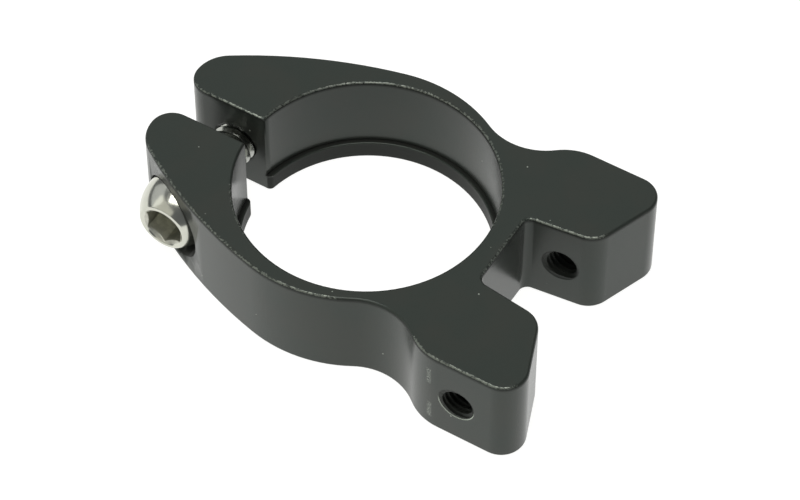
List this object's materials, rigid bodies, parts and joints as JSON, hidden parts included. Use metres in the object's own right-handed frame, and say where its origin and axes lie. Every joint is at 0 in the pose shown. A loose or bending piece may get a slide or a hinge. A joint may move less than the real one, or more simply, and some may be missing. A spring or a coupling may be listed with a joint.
{
  "type": "seat clamp with rack mounts",
  "caption": "Split seat tube collar with two tapped rack arms, closed by a domed socket bolt that screws across its slot.",
  "frame": {"origin": "on the bore's axis, in the plane of the shoulder that stops the seat tube's end", "axes": "+Z along the bore, from the lip to the side where the seat tube enters; +X to the rack arms; the bolt's head is on the -Y side"},
  "size_m": [0.0634, 0.0396, 0.0142],
  "materials": {
    "anodised_aluminium": "black anodised over a bead-blasted surface, satin",
    "washer_steel": "plain stainless, turned",
    "bolt_steel": "polished stainless"
  },
  "bodies": {
    "collar": {"clamp_collar": "anodised_aluminium"},
    "washer": {"bolt_washer": "washer_steel"},
    "bolt": {"clamp_bolt": "bolt_steel"}
  },
  "joints": [
    {"name": "bolt_travel", "type": "slide", "parent": "collar", "child": "washer", "axis": [0, -1, 0], "range_m": [0, 0.0077]},
    {"name": "bolt_turn", "type": "hinge", "parent": "washer", "child": "bolt", "pos_m": [-0.0221, 0, 0.0041], "axis": [0, -1, 0], "range_deg": [0, 2772]}
  ],
  "couplings": [
    {"joint": "bolt_travel", "follows": "bolt_turn", "m_per_rad": 0.00015915}
  ]
}
